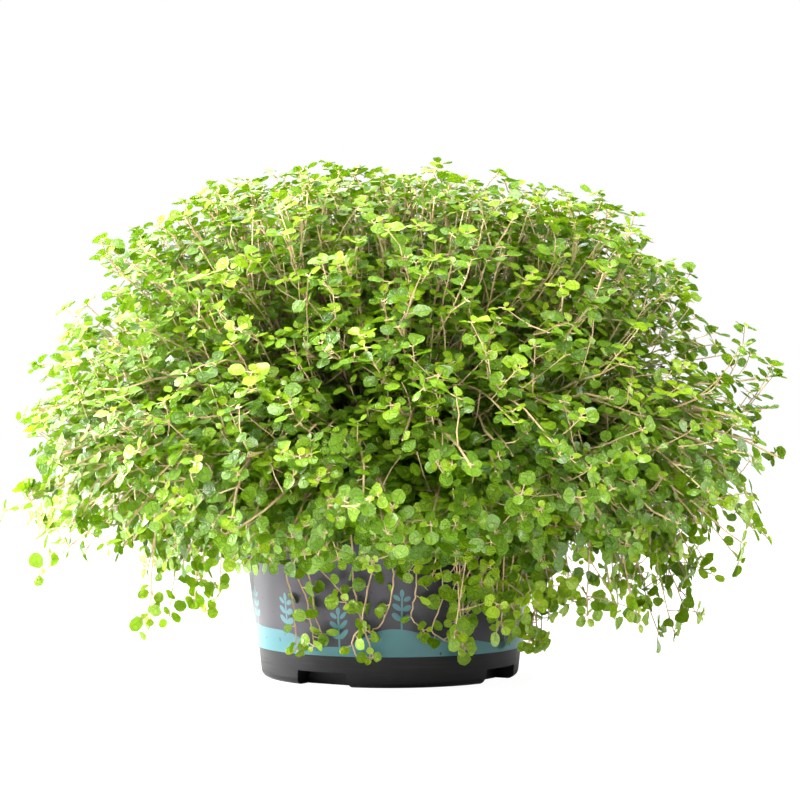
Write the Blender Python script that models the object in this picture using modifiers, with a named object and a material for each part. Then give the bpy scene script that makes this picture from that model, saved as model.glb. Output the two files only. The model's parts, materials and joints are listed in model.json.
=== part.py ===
"""A pot of baby's tears, in metres: a dome of leafy stems that stand in soil, in a printed nursery pot.

The origin is on the floor under the pot's middle, +Z is up and -Y is the front.
"""

import math
import random

import bmesh
import bpy
from mathutils import Matrix, Vector
from mathutils.bvhtree import BVHTree

CLEARANCE = 0.0003
SMALL = 0.00001
FLAT_ANGLE = math.radians(0.3)

# Pot: a cone of thin wall with a rolled rim, a foot ring and a pad under the middle of its floor
POT_HEIGHT = 0.085
POT_STEPS = 32
FOOT_RADIUS = 0.0474
WALL_FLARE = 0.1157
WALL = 0.0013
RIM_RADIUS = 0.060
RIM_DEPTH = 0.0045
RIM_CHAMFER = 0.0007
FOOT_ROUND = 0.0026
FOOT_ROUND_STEPS = 3
FOOT_WIDTH = 0.0085
FLOOR_LIFT = 0.0055
FLOOR = 0.0015
PAD_RADIUS = 0.022
FLOOR_SLOPE = 0.002

# Foot notches and drain holes
NOTCH_COUNT = 4
NOTCH_FIRST = math.radians(-121)
NOTCH_LENGTH = 0.0235
NOTCH_HEIGHT = 0.0053
NOTCH_TOP_SHARE = 0.86
DRAIN_COUNT = 8
DRAIN_RADIUS = 0.004
DRAIN_CIRCLE = 0.031
DRAIN_SIDES = 10

# Printed sleeve round the pot
SLEEVE_BOTTOM = 0.0113
SLEEVE_TOP = 0.078
SLEEVE_THICKNESS = 0.00035

# Soil
SOIL_TOP = 0.076
SOIL_STEPS = 24
SOIL_RINGS = 3
SOIL_RELIEF = 0.0011
SOIL_WAVES = 95.0
HOLE_DEPTH = 0.0075
HOLE_RADIUS = 0.0017
HOLE_SIDES = 5

# Mound: how far it reaches from the middle at each height
MOUND_WIDTH = 0.1425
MOUND_DEPTH = 0.1375
MOUND_MIDDLE = 0.076
MOUND_RISE = 0.1110
MOUND_FALL = 0.0330
MOUND_SQUARENESS = 2.35

# Rings of stems that make the mound: number, circle in the soil, and the angles from
# straight up where each stem's foliage starts and ends
RINGS = (
    (3, 0.009, 9, 20),
    (7, 0.020, 22, 42),
    (12, 0.031, 44, 67),
    (15, 0.041, 68, 99),
)
# Stems that hang over the rim: direction, and the tip's reach from the middle and height
TRAIL_CIRCLE = 0.0495
TRAIL_CREST = (0.062, 0.099)
TRAIL_BULGE = (0.006, 0.006)
TRAILERS = (
    (-116, 0.076, 0.027),
    (-97, 0.070, 0.019),
    (-78, 0.075, 0.034),
    (-58, 0.073, 0.025),
    (-36, 0.088, 0.036),
    (-4, 0.114, 0.032),
    (34, 0.100, 0.036),
    (72, 0.086, 0.028),
    (115, 0.094, 0.034),
    (152, 0.088, 0.027),
    (190, 0.092, 0.028),
)

# Stems and leaves, larger than life
STEM_RADIUS = 0.0009
STEM_TIP_SHARE = 0.7
STEM_POINTS = 5
STEM_RISE = 0.0125
SWAY = 0.12
TRAIL_SWAY = 0.05
TRAIL_NUDGE = 0.09
GUARD_SWELL = 1.6
BAND_START = 0.56
BAND_MIDDLE = 0.78
BLADE_THICKNESS = 0.0007
LOBE_OFFSET = 0.0101
LOBE_RADIUS = 0.0093
LOBE_CORNERS = (36, 108)
WAIST = 0.0017
LOBE_LIFT = 0.22
PAIR_PLACES = (0.60, 0.74, 0.88)
PAIR_LEAN = 30
LEAN_SPREAD = 18
ROLL_SPREAD = 0.45
TIP_LOBES = 3
LOWEST = 0.004
GUARD_THICKNESS = 0.0016
GUARD_GROWTH = 0.0006
AZIMUTH_SPREAD = 0.12
TRIES = 60
SEED = 7

# Colours, as linear red, green and blue
POT_COLOUR = (0.028, 0.027, 0.030)
SLEEVE_COLOUR = (0.090, 0.083, 0.105)
SOIL_COLOUR = (0.040, 0.026, 0.017)
LEAF_COLOUR = (0.12, 0.30, 0.03)

COLLECTION = "potted_babys_tears"
CUTTERS = "cutters"


def empty_scene():
    for item in list(bpy.data.objects):
        bpy.data.objects.remove(item, do_unlink=True)
    for name in (COLLECTION, CUTTERS):
        bpy.context.scene.collection.children.link(bpy.data.collections.new(name))


def add_object(name, mesh, collection=COLLECTION):
    item = bpy.data.objects.new(name, mesh)
    bpy.data.collections[collection].objects.link(item)
    return item


def add_cutter(name, bm):
    mesh = bpy.data.meshes.new(name)
    bm.to_mesh(mesh)
    bm.free()
    cutter = add_object(name, mesh, CUTTERS)
    cutter.hide_render = True
    cutter.display_type = "WIRE"
    return cutter


def add_guide(curve):
    guide = add_object(curve.name, curve, CUTTERS)
    guide.hide_render = True
    return guide


def paint(item, colour, roughness):
    material = bpy.data.materials.new(item.name)
    material.use_nodes = True
    shader = material.node_tree.nodes["Principled BSDF"]
    shader.inputs["Base Color"].default_value = (*colour, 1)
    shader.inputs["Roughness"].default_value = roughness
    shader.inputs["Metallic"].default_value = 0
    item.data.materials.clear()
    item.data.materials.append(material)


def apply_modifiers(item):
    """Gives the object the mesh that its modifiers make."""
    graph = bpy.context.evaluated_depsgraph_get()
    mesh = bpy.data.meshes.new_from_object(item.evaluated_get(graph))
    item.modifiers.clear()
    item.data = mesh


def combine(item, others, operation, solver="EXACT"):
    """Cuts or joins the others with the object in one Boolean, and removes them."""
    operands = bpy.data.collections.new("operands")
    bpy.context.scene.collection.children.link(operands)
    for other in others:
        operands.objects.link(other)
    boolean = item.modifiers.new(operation.lower(), "BOOLEAN")
    boolean.operation = operation
    boolean.operand_type = "COLLECTION"
    boolean.collection = operands
    boolean.solver = solver
    apply_modifiers(item)
    for other in others:
        bpy.data.objects.remove(other, do_unlink=True)
    bpy.data.collections.remove(operands)


def merge_flat_faces(item):
    bm = bmesh.new()
    bm.from_mesh(item.data)
    bmesh.ops.dissolve_limit(
        bm, angle_limit=FLAT_ANGLE, verts=bm.verts, edges=bm.edges, use_dissolve_boundaries=False
    )
    bm.to_mesh(item.data)
    bm.free()


def turned(name, profile, steps):
    """A solid turned round Z from a profile of (radius, height) that runs down its outer side."""
    mesh = bpy.data.meshes.new(name)
    points = [(radius, 0, height) for radius, height in profile]
    closed = profile[0][0] > SMALL
    edges = [(i, i + 1) for i in range(len(points) - 1)]
    if closed:
        edges.append((len(points) - 1, 0))
    mesh.from_pydata(points, edges, [])
    item = add_object(name, mesh)
    screw = item.modifiers.new("screw", "SCREW")
    screw.steps = steps
    screw.render_steps = steps
    screw.use_merge_vertices = True
    screw.merge_threshold = SMALL
    apply_modifiers(item)
    return item


def wall_radius(height):
    return FOOT_RADIUS + WALL_FLARE * height


def foot_corner():
    """The rounded corner between the wall and the floor, from the wall down."""
    middle = wall_radius(FOOT_ROUND) - FOOT_ROUND
    corner = []
    for step in range(FOOT_ROUND_STEPS + 1):
        angle = math.pi / 2 * step / FOOT_ROUND_STEPS
        radius = middle + FOOT_ROUND * math.cos(angle)
        corner.append((radius, FOOT_ROUND * (1 - math.sin(angle))))
    return corner


def build_pot():
    foot_inside = FOOT_RADIUS - FOOT_WIDTH
    floor_top = FLOOR_LIFT + FLOOR
    lip_bottom = POT_HEIGHT - RIM_DEPTH
    profile = [
        (0, FLOOR),
        (PAD_RADIUS, FLOOR),
        (PAD_RADIUS + FLOOR_SLOPE, floor_top),
        (wall_radius(floor_top) - WALL, floor_top),
        (wall_radius(POT_HEIGHT) - WALL, POT_HEIGHT),
        (RIM_RADIUS - RIM_CHAMFER, POT_HEIGHT),
        (RIM_RADIUS, POT_HEIGHT - RIM_CHAMFER),
        (RIM_RADIUS, lip_bottom),
        (wall_radius(lip_bottom), lip_bottom),
        *foot_corner(),
        (foot_inside, 0),
        (foot_inside - FLOOR_SLOPE, FLOOR_LIFT),
        (PAD_RADIUS + FLOOR_SLOPE, FLOOR_LIFT),
        (PAD_RADIUS, 0),
        (0, 0),
    ]
    pot = turned("pot", profile, POT_STEPS)
    combine(pot, notch_cutters() + drain_cutters(), "DIFFERENCE")
    paint(pot, POT_COLOUR, 0.45)
    return pot


def notch_cutters():
    """Boxes, narrower at the top, that open the foot ring in four places."""
    cutters = []
    for count in range(NOTCH_COUNT):
        bm = bmesh.new()
        bmesh.ops.create_cube(bm, size=1)
        for corner in bm.verts:
            if corner.co.z > 0:
                corner.co.y *= NOTCH_TOP_SHARE
            corner.co.x *= FOOT_WIDTH * 2
            corner.co.y *= NOTCH_LENGTH
            corner.co.z *= NOTCH_HEIGHT * 2
        angle = NOTCH_FIRST + count * math.tau / NOTCH_COUNT
        turn = Matrix.Rotation(angle, 4, "Z")
        out = Matrix.Translation((FOOT_RADIUS, 0, 0))
        bmesh.ops.transform(bm, matrix=turn @ out, verts=bm.verts)
        cutters.append(add_cutter("notch", bm))
    return cutters


def upright(radius, sides, bottom, top, place):
    """A plain upright cylinder as a bmesh, with its axis at place."""
    bm = bmesh.new()
    bmesh.ops.create_cone(
        bm, cap_ends=True, segments=sides, radius1=radius, radius2=radius, depth=top - bottom
    )
    bmesh.ops.translate(bm, verts=bm.verts, vec=(place[0], place[1], (top + bottom) / 2))
    return bm


def drain_cutters():
    cutters = []
    for count in range(DRAIN_COUNT):
        angle = (count + 0.5) * math.tau / DRAIN_COUNT
        place = (DRAIN_CIRCLE * math.cos(angle), DRAIN_CIRCLE * math.sin(angle))
        top = FLOOR_LIFT + 2 * FLOOR
        cutters.append(
            add_cutter("drain", upright(DRAIN_RADIUS, DRAIN_SIDES, FLOOR, top, place))
        )
    return cutters


def build_sleeve():
    inner = CLEARANCE
    outer = CLEARANCE + SLEEVE_THICKNESS
    profile = [
        (wall_radius(SLEEVE_TOP) + outer, SLEEVE_TOP),
        (wall_radius(SLEEVE_BOTTOM) + outer, SLEEVE_BOTTOM),
        (wall_radius(SLEEVE_BOTTOM) + inner, SLEEVE_BOTTOM),
        (wall_radius(SLEEVE_TOP) + inner, SLEEVE_TOP),
    ]
    sleeve = turned("print_sleeve", profile, POT_STEPS)
    paint(sleeve, SLEEVE_COLOUR, 0.35)
    return sleeve


def soil_relief(x, y):
    """How far the soil's surface rises or dips, in metres, from waves that cross each other."""
    wave = math.sin(SOIL_WAVES * x + 0.7) * math.cos(SOIL_WAVES * 1.3 * y - 0.4)
    return SOIL_RELIEF * (wave + 0.5 * math.sin(SOIL_WAVES * 2.1 * (x - y)))


def build_soil(crowns):
    """The plug of soil, with a plain hole at each crown, a place that a stem stands in."""
    bottom = FLOOR_LIFT + FLOOR + CLEARANCE
    edge = wall_radius(SOIL_TOP) - WALL - 2 * CLEARANCE
    foot = wall_radius(bottom) - WALL - 2 * CLEARANCE
    top_rings = [(edge * ring / SOIL_RINGS, SOIL_TOP) for ring in range(SOIL_RINGS + 1)]
    soil = turned("soil", [*top_rings, (foot, bottom), (0, bottom)], SOIL_STEPS)
    for point in soil.data.vertices:
        if point.co.z > SOIL_TOP - SMALL and point.co.xy.length < edge - SMALL:
            point.co.z += soil_relief(point.co.x, point.co.y)
    cutters = []
    for crown in crowns:
        hole = upright(
            HOLE_RADIUS, HOLE_SIDES, SOIL_TOP - HOLE_DEPTH, SOIL_TOP + HOLE_DEPTH, crown
        )
        cutters.append(add_cutter("stem_hole", hole))
    combine(soil, cutters, "DIFFERENCE")
    paint(soil, SOIL_COLOUR, 0.95)
    return soil


def mound_radius(polar):
    """How far the mound's surface is from its middle, by the angle from straight up."""
    rise = MOUND_RISE if math.cos(polar) > 0 else MOUND_FALL
    across = abs(math.sin(polar)) / MOUND_WIDTH
    up = abs(math.cos(polar)) / rise
    return (across**MOUND_SQUARENESS + up**MOUND_SQUARENESS) ** (-1 / MOUND_SQUARENESS)


def on_mound(degrees, share=1.0):
    """The (radius, height) of a point on the mound, or inside it for a share under 1."""
    polar = math.radians(degrees)
    reach = mound_radius(polar) * share
    return Vector((reach * math.sin(polar), MOUND_MIDDLE + reach * math.cos(polar)))


def arch(start, band_start, band_middle, end, count):
    """Points along the one cubic curve that passes through the four places given."""
    weights = []
    rests = []
    for t, place in ((BAND_START, band_start), (BAND_MIDDLE, band_middle)):
        weights.append((3 * (1 - t) ** 2 * t, 3 * (1 - t) * t * t))
        rests.append(place - (1 - t) ** 3 * start - t**3 * end)
    (a, b), (c, d) = weights
    leave = (d * rests[0] - b * rests[1]) / (a * d - b * c)
    arrive = (a * rests[1] - c * rests[0]) / (a * d - b * c)
    points = []
    for step in range(count):
        t = step / (count - 1)
        s = 1 - t
        ends = s**3 * start + t**3 * end
        points.append(ends + 3 * s * s * t * leave + 3 * s * t * t * arrive)
    return points


def standing(azimuth, point):
    """The place in the mound of a (radius, height) in the upright plane at an azimuth."""
    radius, height = point
    squash = MOUND_DEPTH / MOUND_WIDTH
    return Vector((radius * math.cos(azimuth), radius * math.sin(azimuth) * squash, height))


def stem_points(azimuth, circle, band_start, band_middle, end, sway):
    """The points of a stem: up out of its hole, then along one arch that sways a little."""
    foot = SOIL_TOP - HOLE_DEPTH + CLEARANCE
    start = Vector((circle, foot + STEM_RISE))
    points = [standing(azimuth, (circle, foot))]
    for count, point in enumerate(arch(start, band_start, band_middle, end, STEM_POINTS)):
        along = count / (STEM_POINTS - 1)
        turn = sway * math.sin(math.tau * along) * along
        points.append(standing(azimuth + turn, point))
    return points


def mound_stem(draw, azimuth, circle, start, end):
    """The points of one stem of the mound, with its foliage between two angles from up."""
    shift = draw.uniform(-3, 3)
    band_start = on_mound(start + shift, draw.uniform(0.86, 0.92))
    band_middle = on_mound((start + end) / 2 + shift, draw.uniform(0.93, 0.97))
    tip = on_mound(end + shift, draw.uniform(0.95, 1.0))
    sway = SWAY * draw.uniform(-1, 1)
    return stem_points(azimuth, circle, band_start, band_middle, tip, sway)


def trailing_stem(draw, azimuth, reach, height):
    """The points of a stem that arches over the rim and hangs beside the pot."""
    crest = Vector(TRAIL_CREST)
    tip = Vector((reach, height))
    side = crest.lerp(tip, 0.5) + Vector(TRAIL_BULGE)
    sway = TRAIL_SWAY * draw.uniform(-1, 1)
    azimuth += TRAIL_NUDGE * draw.uniform(-1, 1)
    return stem_points(azimuth, TRAIL_CIRCLE, crest, side, tip, sway)


def stem_plans(draw):
    """A way to draw each stem: a function and what it takes after its random source."""
    plans = []
    for number, circle, start, end in RINGS:
        first = draw.uniform(0, math.tau)
        for count in range(number):
            step = count + AZIMUTH_SPREAD * draw.uniform(-1, 1)
            azimuth = first + step * math.tau / number
            plans.append((mound_stem, (azimuth, circle, start, end)))
    for degrees, reach, height in TRAILERS:
        plans.append((trailing_stem, (math.radians(degrees), reach, height)))
    return plans


def grow_stems(draw):
    """Every stem's points and body, each drawn again until it is clear of those before it."""
    section = stem_section()
    stems, bodies, grown = [], [], []
    for number, (shape, place) in enumerate(stem_plans(draw)):
        for attempt in range(TRIES):
            points = shape(draw, *place)
            guard = build_stem("guard", points, section, GUARD_SWELL)
            tree = tree_of(guard.data)
            bpy.data.objects.remove(guard, do_unlink=True)
            if not any(tree.overlap(other) for other in grown):
                break
        grown.append(tree)
        stems.append(points)
        bodies.append(build_stem(f"stem_{number + 1:02d}", points, section))
    bpy.data.objects.remove(section, do_unlink=True)
    return stems, bodies


def stem_section():
    """The three-sided section of a stem, as a curve that other curves use as their bevel."""
    curve = bpy.data.curves.new("section", "CURVE")
    curve.dimensions = "2D"
    curve.resolution_u = 1
    spline = curve.splines.new("POLY")
    spline.points.add(2)
    spline.use_cyclic_u = True
    for count, point in enumerate(spline.points):
        angle = count * math.tau / 3
        point.co = (STEM_RADIUS * math.cos(angle), STEM_RADIUS * math.sin(angle), 0, 1)
    return add_guide(curve)


def build_stem(name, points, section, swell=1.0):
    """A three-sided tapering stem through the points, as a mesh."""
    curve = bpy.data.curves.new(name, "CURVE")
    curve.dimensions = "3D"
    curve.bevel_mode = "OBJECT"
    curve.bevel_object = section
    curve.resolution_u = 1
    curve.use_fill_caps = True
    spline = curve.splines.new("POLY")
    spline.points.add(len(points) - 1)
    for count, point in enumerate(points):
        spline.points[count].co = (*point, 1)
        taper = 1 - (1 - STEM_TIP_SHARE) * count / (len(points) - 1)
        spline.points[count].radius = swell * taper
    bent = add_object(name, curve)
    graph = bpy.context.evaluated_depsgraph_get()
    mesh = bpy.data.meshes.new_from_object(bent.evaluated_get(graph))
    bpy.data.objects.remove(bent, do_unlink=True)
    bm = bmesh.new()
    bm.from_mesh(mesh)
    bmesh.ops.remove_doubles(bm, verts=bm.verts, dist=SMALL)
    bmesh.ops.recalc_face_normals(bm, faces=bm.faces)
    bm.to_mesh(mesh)
    bm.free()
    return add_object(name, mesh)


def outline(lobes, grow):
    """Points round a blade of two or more round lobes that meet at a narrow waist."""
    points = []
    for lobe in range(lobes):
        axis = lobe * math.tau / lobes
        corners = [-LOBE_CORNERS[1], -LOBE_CORNERS[0], LOBE_CORNERS[0], LOBE_CORNERS[1]]
        for corner in corners:
            angle = math.radians(corner)
            x = LOBE_OFFSET + (LOBE_RADIUS + grow) * math.cos(angle)
            y = (LOBE_RADIUS + grow) * math.sin(angle)
            points.append(Matrix.Rotation(axis, 2) @ Vector((x, y)))
        between = axis + math.pi / lobes
        points.append((WAIST + grow) * Vector((math.cos(between), math.sin(between))))
    return points


def lobe_lift(point, lobes):
    """Height over the waist: each lobe is flat, and rises away from the stem."""
    turn = math.tau / lobes
    axis = round(math.atan2(point.y, point.x) / turn) * turn
    return LOBE_LIFT * (point.x * math.cos(axis) + point.y * math.sin(axis))


def blade_mesh(lobes, thickness=BLADE_THICKNESS, grow=0.0):
    """A thin blade in the XY plane, its lobes lifted a little towards +Z."""
    points = outline(lobes, grow)
    bm = bmesh.new()
    bmesh.ops.create_circle(bm, cap_ends=True, cap_tris=True, segments=len(points), radius=1)
    rim = [v for v in bm.verts if v.co.length > 0.5]
    rim.sort(key=lambda v: math.atan2(v.co.y, v.co.x) % math.tau)
    ordered = sorted(points, key=lambda p: math.atan2(p.y, p.x) % math.tau)
    for corner, point in zip(rim, ordered):
        corner.co = (point.x, point.y, 0)
    for corner in bm.verts:
        corner.co.z = lobe_lift(corner.co, lobes) - thickness / 2
    made = bmesh.ops.extrude_face_region(bm, geom=bm.faces[:])
    raised = [item for item in made["geom"] if isinstance(item, bmesh.types.BMVert)]
    bmesh.ops.translate(bm, verts=raised, vec=(0, 0, thickness))
    bmesh.ops.recalc_face_normals(bm, faces=bm.faces)
    mesh = bpy.data.meshes.new("blade")
    bm.to_mesh(mesh)
    bm.free()
    return mesh


def tree_of(mesh, matrix=Matrix.Identity(4)):
    corners = [matrix @ v.co for v in mesh.vertices]
    return BVHTree.FromPolygons(corners, [p.vertices for p in mesh.polygons])


def blade_frame(place, along, out, lean, roll, size):
    """Where a blade lies: its face leans from the mound's outward direction up the stem."""
    across = along.cross(out).normalized()
    across = Matrix.Rotation(roll, 3, out) @ across
    face = Matrix.Rotation(lean, 3, across) @ out.normalized()
    side = face.cross(across).normalized()
    across = side.cross(face)
    turn = Matrix((across, side, face)).transposed().to_4x4()
    return Matrix.Translation(place) @ turn @ Matrix.Diagonal((size, size, 1, 1))


def outward(place):
    """The direction out of the mound at a place, mostly up on its top."""
    middle = Vector((0, 0, MOUND_MIDDLE * 0.8))
    return (place - middle).normalized()


def along_stem(points, share):
    """The place on a stem at a share of its points, and the stem's direction there."""
    at = share * (len(points) - 1)
    index = min(int(at), len(points) - 2)
    start, end = points[index], points[index + 1]
    return start.lerp(end, at - index), (end - start).normalized()


def place_blades(stem_number, points, guards, obstacles, placed, draw):
    """Frames for a stem's blades, each turned, tilted or made smaller until it is clear."""
    frames = []
    wanted = [(2, share) for share in PAIR_PLACES] + [(TIP_LOBES, 1.0)]
    for lobes, share in reversed(wanted):
        place, along = along_stem(points, share)
        out = outward(place)
        for attempt in range(TRIES):
            loose = attempt / TRIES
            lean = math.radians(PAIR_LEAN + LEAN_SPREAD * draw.uniform(-1, 1) * (1 + 2 * loose))
            roll = ROLL_SPREAD * draw.uniform(-1, 1) * (1 + loose)
            size = draw.uniform(0.94, 1.06) * (1 - 0.4 * loose)
            frame = blade_frame(place, along, out, lean, roll, size)
            if min((frame @ v.co).z for v in guards[lobes].vertices) < LOWEST:
                continue
            tree = tree_of(guards[lobes], frame)
            others = [t for n, t in obstacles if n != stem_number] + placed
            if not any(tree.overlap(other) for other in others):
                placed.append(tree)
                frames.append((lobes, frame))
                break
    return frames


def build_plant(neighbours):
    """Every stem with its blades, fused into a node of its own and clear of its neighbours."""
    draw = random.Random(SEED)
    stems, bodies = grow_stems(draw)
    blades = {lobes: blade_mesh(lobes) for lobes in (2, TIP_LOBES)}
    guards = {
        lobes: blade_mesh(lobes, GUARD_THICKNESS, GUARD_GROWTH)
        for lobes in (2, TIP_LOBES)
    }
    obstacles = [(n, tree_of(body.data)) for n, body in enumerate(bodies)]
    obstacles += [(None, tree_of(item.data)) for item in neighbours]
    placed = []
    for number, points in enumerate(stems):
        frames = place_blades(number, points, guards, obstacles, placed, draw)
        parts = []
        for lobes, frame in frames:
            part = add_object("blade", blades[lobes].copy())
            part.data.transform(frame)
            parts.append(part)
        combine(bodies[number], parts, "UNION")
        merge_flat_faces(bodies[number])
        paint(bodies[number], LEAF_COLOUR, 0.5)
    return stems


def main():
    empty_scene()
    pot = build_pot()
    sleeve = build_sleeve()
    stems = build_plant([pot, sleeve])
    build_soil([(points[0].x, points[0].y) for points in stems])


main()
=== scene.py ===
# %% [markdown]
# # A pot of baby's tears
#
# Baby's tears is a creeping plant: hundreds of thread-thin stems, each set with round leaves of
# about five millimetres, that pile up into a dome wider than their pot. The frame that this
# script loads already has the plant with a few large leaves, as solids that can be simulated.
# Here the same dome is grown again with leaves and stems at their true size. The pot, its
# printed sleeve and the soil are remade with smooth walls and worn surfaces.

import json
import math

import bpy
import numpy as np
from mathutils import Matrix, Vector, noise

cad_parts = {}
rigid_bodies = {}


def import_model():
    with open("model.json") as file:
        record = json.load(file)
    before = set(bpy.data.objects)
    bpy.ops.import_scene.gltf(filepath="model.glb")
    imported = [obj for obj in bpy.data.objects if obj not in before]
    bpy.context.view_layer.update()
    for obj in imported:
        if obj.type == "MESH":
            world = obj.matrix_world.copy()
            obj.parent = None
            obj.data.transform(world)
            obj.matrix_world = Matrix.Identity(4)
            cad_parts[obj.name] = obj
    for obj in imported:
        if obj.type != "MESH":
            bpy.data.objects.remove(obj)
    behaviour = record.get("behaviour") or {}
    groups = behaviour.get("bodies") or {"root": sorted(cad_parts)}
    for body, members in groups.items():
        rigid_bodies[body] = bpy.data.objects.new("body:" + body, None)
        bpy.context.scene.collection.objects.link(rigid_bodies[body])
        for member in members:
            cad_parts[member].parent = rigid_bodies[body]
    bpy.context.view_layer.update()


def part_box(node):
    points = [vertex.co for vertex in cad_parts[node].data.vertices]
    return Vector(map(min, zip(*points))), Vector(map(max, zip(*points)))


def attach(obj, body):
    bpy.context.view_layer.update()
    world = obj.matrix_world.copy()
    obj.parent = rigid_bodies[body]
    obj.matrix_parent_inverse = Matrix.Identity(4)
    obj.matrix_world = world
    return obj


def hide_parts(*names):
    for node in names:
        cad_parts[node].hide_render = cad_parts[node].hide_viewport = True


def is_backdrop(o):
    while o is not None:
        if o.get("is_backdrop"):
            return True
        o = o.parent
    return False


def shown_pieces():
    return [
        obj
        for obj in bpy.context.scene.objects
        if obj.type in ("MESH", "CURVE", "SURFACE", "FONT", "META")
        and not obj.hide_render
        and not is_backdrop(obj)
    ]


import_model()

# %% [markdown]
# ## Small tools
#
# An operator acts on everything that is selected, so each new shape starts from an empty
# selection. Each finished piece rides on the one body of this model, takes one material, and
# hides the solids of the frame that it stands for.

# %% Selection and finishing helpers
BODY = "root"


def select_only(*items):
    for other in bpy.context.view_layer.objects:
        other.select_set(False)
    for item in items:
        item.select_set(True)
    if items:
        bpy.context.view_layer.objects.active = items[0]


def apply_modifiers(item):
    select_only(item)
    for modifier in list(item.modifiers):
        bpy.ops.object.modifier_apply(modifier=modifier.name)


def face_outwards(item, merge=0.00001):
    """Merges corners that lie on each other and turns every face outwards."""
    select_only(item)
    bpy.ops.object.mode_set(mode="EDIT")
    bpy.ops.mesh.select_all(action="SELECT")
    bpy.ops.mesh.remove_doubles(threshold=merge)
    bpy.ops.mesh.normals_make_consistent(inside=False)
    bpy.ops.object.mode_set(mode="OBJECT")


def finish_piece(item, name, material, nodes):
    item.name = name
    item.data.name = name
    item.data.materials.clear()
    item.data.materials.append(material)
    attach(item, BODY)
    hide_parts(*nodes)
    triangles = sum(len(face.vertices) - 2 for face in item.data.polygons)
    print(f"{name}: {triangles} triangles, stands for {len(nodes)} solids")
    return item


# %% [markdown]
# ## Sizes
#
# These sizes are the same as the frame's own, in metres, with +Z up and the front towards -Y.
# The mound is a squared-off ellipse turned round the pot's axis: `mound_reach` gives the
# distance from its middle to its skin for any angle from straight up.

# %% Sizes of the pot and the mound
POT_HEIGHT = 0.085
FOOT_RADIUS = 0.0474
WALL_FLARE = 0.1157
WALL = 0.0013
RIM_RADIUS = 0.060
RIM_DEPTH = 0.0045
FLOOR_LIFT = 0.0055
FLOOR = 0.0015
SLEEVE_BOTTOM, SLEEVE_TOP = 0.0113, 0.078
SOIL_TOP = 0.076
MOUND_WIDTH, MOUND_DEPTH = 0.1425, 0.1375
MOUND_RISE, MOUND_FALL = 0.111, 0.033
MOUND_SQUARENESS = 2.35
MIDDLE = np.array((0, 0, SOIL_TOP))
UP = np.array((0, 0, 1.0))


def wall_radius(height):
    return FOOT_RADIUS + WALL_FLARE * height


def mound_reach(polar):
    rise = MOUND_RISE if math.cos(polar) > 0 else MOUND_FALL
    across = abs(math.sin(polar)) / MOUND_WIDTH
    up = abs(math.cos(polar)) / rise
    return (across**MOUND_SQUARENESS + up**MOUND_SQUARENESS) ** (-1 / MOUND_SQUARENESS)


for degrees in (0, 45, 90, 105):
    print(f"reach at {degrees} degrees: {1000 * mound_reach(math.radians(degrees)):.0f} mm")

# %% [markdown]
# ## Camera, floor and light
#
# The photograph was taken level with the plant, from about a metre away, against a bright white
# sweep. A longer lens from there keeps the pot's ellipses as flat as they look. The floor is
# white and throws light up into the plant. The camera sees a calmer floor, because the thin
# leaves in front of a very bright one would be washed away. Of the four soft lamps the left one
# is the strongest, so the left side of the plant is the brighter one.

# %% Camera
CAMERA_PLACE = (0.0037, -0.930, 0.102)
LENS = 112.5


def add_camera():
    data = bpy.data.cameras.new("camera")
    data.lens = LENS
    data.sensor_width = 36
    camera = bpy.data.objects.new("camera", data)
    camera.location = CAMERA_PLACE
    camera.rotation_euler = (math.radians(90), 0, 0)
    bpy.context.scene.collection.objects.link(camera)
    bpy.context.scene.camera = camera
    return camera


print("camera at", tuple(round(v, 3) for v in add_camera().location))

# %% Floor, lamps and sky
LAMPS = (
    # name, place, size, watts
    ("overhead", (-0.25, -0.45, 1.32), 1.1, 43.0),
    ("left", (-1.05, 0.20, 0.45), 0.9, 77.0),
    ("right", (1.10, 0.10, 0.50), 0.9, 12.0),
    ("back", (-0.35, 0.95, 0.85), 0.9, 12.0),
)
SKY_LIGHT, SKY_SEEN = 0.40, 1.0
FLOOR_GLOW, FLOOR_SEEN = 0.0, 0.935
FLOOR_WHITE, FLOOR_DIMMED = 0.74, 0.20


def aim(item, target):
    away = Vector(item.location) - Vector(target)
    item.rotation_euler = away.to_track_quat("Z", "Y").to_euler()


def add_lamp(name, place, size, watts):
    data = bpy.data.lights.new(name, "AREA")
    data.shape = "DISK"
    data.size = size
    data.energy = watts
    lamp = bpy.data.objects.new(name, data)
    lamp.location = place
    aim(lamp, (0, 0, 0.1))
    bpy.context.scene.collection.objects.link(lamp)


def differ_for_camera(tree, socket, light, seen):
    """A value that is one thing as a light and another where the camera looks straight at it."""
    rays = tree.nodes.new("ShaderNodeLightPath")
    blend = tree.nodes.new("ShaderNodeMapRange")
    blend.inputs[3].default_value = light
    blend.inputs[4].default_value = seen
    tree.links.new(rays.outputs["Is Camera Ray"], blend.inputs[0])
    tree.links.new(blend.outputs[0], socket)


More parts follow.
